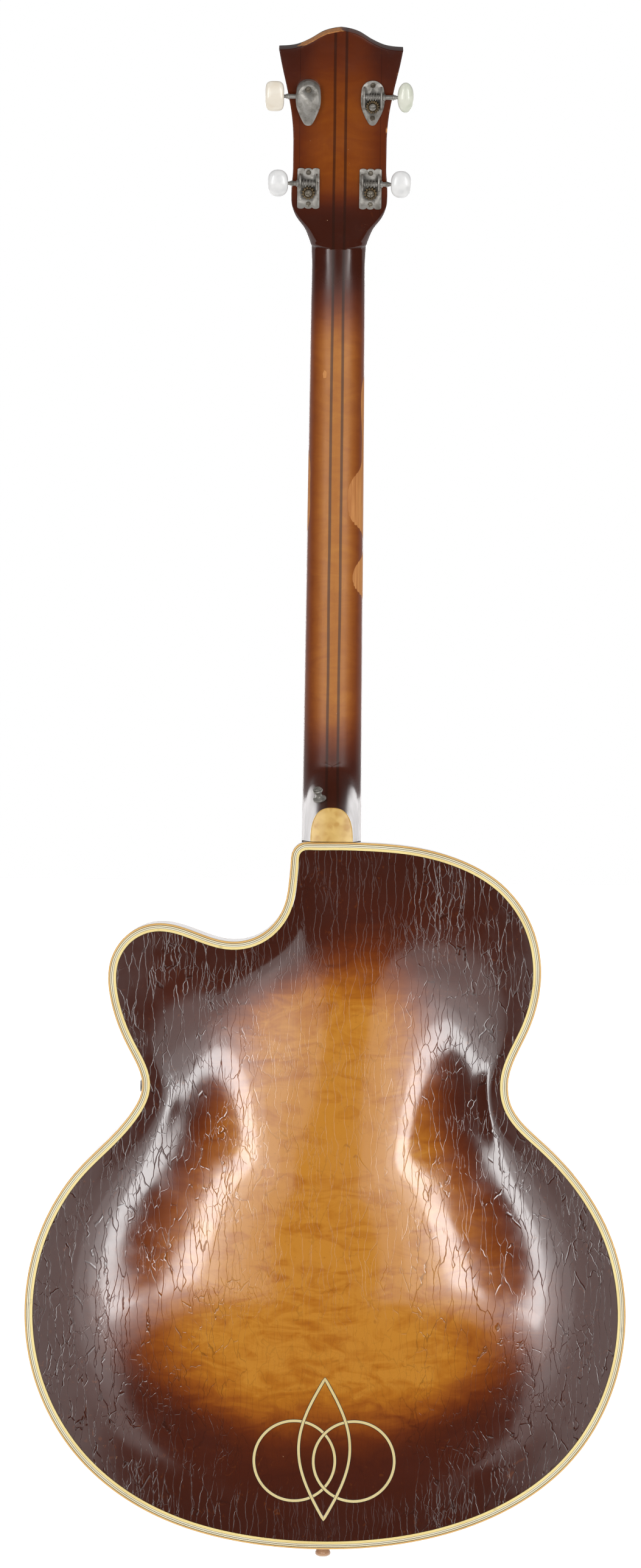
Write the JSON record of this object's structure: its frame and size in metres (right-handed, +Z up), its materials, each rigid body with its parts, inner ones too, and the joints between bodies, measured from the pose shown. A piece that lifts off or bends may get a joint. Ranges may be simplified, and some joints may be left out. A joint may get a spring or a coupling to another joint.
{
  "type": "archtop bass guitar",
  "caption": "Hollow archtop bass guitar with a rounded cutaway, carved plates with bound edges, a tilted head with geared tuners, a floating bridge, a tailpiece and a pickguard.",
  "frame": {"origin": "centre of the end pin's flat outer face, the lowest point of the guitar standing upright", "axes": "+Z up the neck from the tail end to the head, +Y out of the carved back, +X to the cutaway side"},
  "size_m": [0.4457, 0.1406, 1.1383],
  "materials": {
    "sunburst": "glossy sunburst lacquer with fine checking, dark brown at the edge and amber in the middle",
    "maple": "glossy lacquer over maple, worn at the edges",
    "spruce": "bare",
    "rosewood": "oiled",
    "cream": "gloss, yellowed",
    "pearl": "gloss with a pearl figure",
    "black": "gloss",
    "nickel": "aged nickel plating",
    "brass": "aged",
    "steel": "satin"
  },
  "bodies": {
    "instrument": {"back_plate": "sunburst", "top_plate": "sunburst", "rib_treble": "sunburst", "rib_bass": "sunburst", "binding_back": "cream", "binding_top": "cream", "back_inlay": "cream", "lining_back_treble": "spruce", "lining_back_bass": "spruce", "lining_top_treble": "spruce", "lining_top_bass": "spruce", "tone_bar_treble": "spruce", "tone_bar_bass": "spruce", "neck_block": "maple", "tail_block": "maple", "neck": "maple", "neck_reinforcing_bar": "steel", "fingerboard": "rosewood", "nut": "cream", "head_veneer": "black", "heel_cap": "pearl", "bridge_base": "rosewood", "bridge_post_treble": "brass", "bridge_post_bass": "brass", "tailpiece": "nickel", "tailpiece_screw": "nickel", "pickguard": "black", "pickguard_bracket": "nickel", "end_pin": "cream", "strap_button": "nickel", "strap_button_screw": "nickel", "string_e": "steel", "string_a": "steel", "string_d": "steel", "string_g": "steel", "tuner_plate_upper_treble": "nickel", "tuner_plate_upper_bass": "nickel", "tuner_plate_lower_treble": "nickel", "tuner_plate_lower_bass": "nickel", "tuner_cover": "nickel", "tuner_cover_screw": "nickel"},
    "key_upper_treble": {"worm_shaft_upper_treble": "nickel", "tuner_button_upper_treble": "pearl"},
    "key_upper_bass": {"worm_shaft_upper_bass": "nickel", "tuner_button_upper_bass": "pearl"},
    "key_lower_treble": {"worm_shaft_lower_treble": "nickel", "tuner_button_lower_treble": "pearl"},
    "key_lower_bass": {"worm_shaft_lower_bass": "nickel", "tuner_button_lower_bass": "pearl"},
    "winder_upper_treble": {"tuner_gear_upper_treble": "brass", "tuner_post_upper_treble": "nickel"},
    "winder_upper_bass": {"tuner_gear_upper_bass": "brass", "tuner_post_upper_bass": "nickel"},
    "winder_lower_treble": {"tuner_gear_lower_treble": "brass", "tuner_post_lower_treble": "nickel"},
    "winder_lower_bass": {"tuner_gear_lower_bass": "brass", "tuner_post_lower_bass": "nickel"},
    "saddle": {"bridge_saddle": "rosewood"},
    "wheel_treble": {"bridge_wheel_treble": "brass"},
    "wheel_bass": {"bridge_wheel_bass": "brass"}
  },
  "joints": [
    {"name": "key_upper_treble_turn", "type": "hinge", "parent": "instrument", "child": "key_upper_treble", "pos_m": [0.0238, 0.04443, 1.08556], "axis": [-1, 0, 0], "continuous": true},
    {"name": "key_upper_bass_turn", "type": "hinge", "parent": "instrument", "child": "key_upper_bass", "pos_m": [-0.0238, 0.04443, 1.08556], "axis": [-1, 0, 0], "continuous": true},
    {"name": "key_lower_treble_turn", "type": "hinge", "parent": "instrument", "child": "key_lower_treble", "pos_m": [0.0231, 0.02382, 1.0236], "axis": [-1, 0, 0], "continuous": true},
    {"name": "key_lower_bass_turn", "type": "hinge", "parent": "instrument", "child": "key_lower_bass", "pos_m": [-0.0231, 0.02382, 1.0236], "axis": [-1, 0, 0], "continuous": true},
    {"name": "winder_upper_treble_turn", "type": "hinge", "parent": "instrument", "child": "winder_upper_treble", "pos_m": [0.0238, 0.03751, 1.08028], "axis": [0, 0.9489, -0.3156], "continuous": true},
    {"name": "winder_upper_bass_turn", "type": "hinge", "parent": "instrument", "child": "winder_upper_bass", "pos_m": [-0.0238, 0.03751, 1.08028], "axis": [0, 0.9489, -0.3156], "continuous": true},
    {"name": "winder_lower_treble_turn", "type": "hinge", "parent": "instrument", "child": "winder_lower_treble", "pos_m": [0.0231, 0.01692, 1.01841], "axis": [0, 0.9489, -0.3156], "continuous": true},
    {"name": "winder_lower_bass_turn", "type": "hinge", "parent": "instrument", "child": "winder_lower_bass", "pos_m": [-0.0231, 0.01692, 1.01841], "axis": [0, 0.9489, -0.3156], "continuous": true},
    {"name": "bridge_lift", "type": "slide", "parent": "instrument", "child": "saddle", "axis": [0, -1, 0], "range_m": [-0.003, 0.004], "deforming": ["string_e", "string_a", "string_d", "string_g"]},
    {"name": "wheel_treble_turn", "type": "hinge", "parent": "saddle", "child": "wheel_treble", "pos_m": [0.032, -0.0677, 0.21486], "axis": [0, -1, 0], "range_deg": [-1350, 1800]},
    {"name": "wheel_bass_turn", "type": "hinge", "parent": "saddle", "child": "wheel_bass", "pos_m": [-0.032, -0.0677, 0.21486], "axis": [0, -1, 0], "range_deg": [-1350, 1800]}
  ],
  "couplings": [
    {"joint": "winder_upper_treble_turn", "follows": "key_upper_treble_turn", "ratio": -0.0625},
    {"joint": "winder_upper_bass_turn", "follows": "key_upper_bass_turn", "ratio": -0.0625},
    {"joint": "winder_lower_treble_turn", "follows": "key_lower_treble_turn", "ratio": -0.083333},
    {"joint": "winder_lower_bass_turn", "follows": "key_lower_bass_turn", "ratio": -0.083333},
    {"joint": "bridge_lift", "follows": "wheel_treble_turn", "m_per_rad": 0.00012732},
    {"joint": "wheel_bass_turn", "follows": "wheel_treble_turn", "ratio": 1}
  ]
}
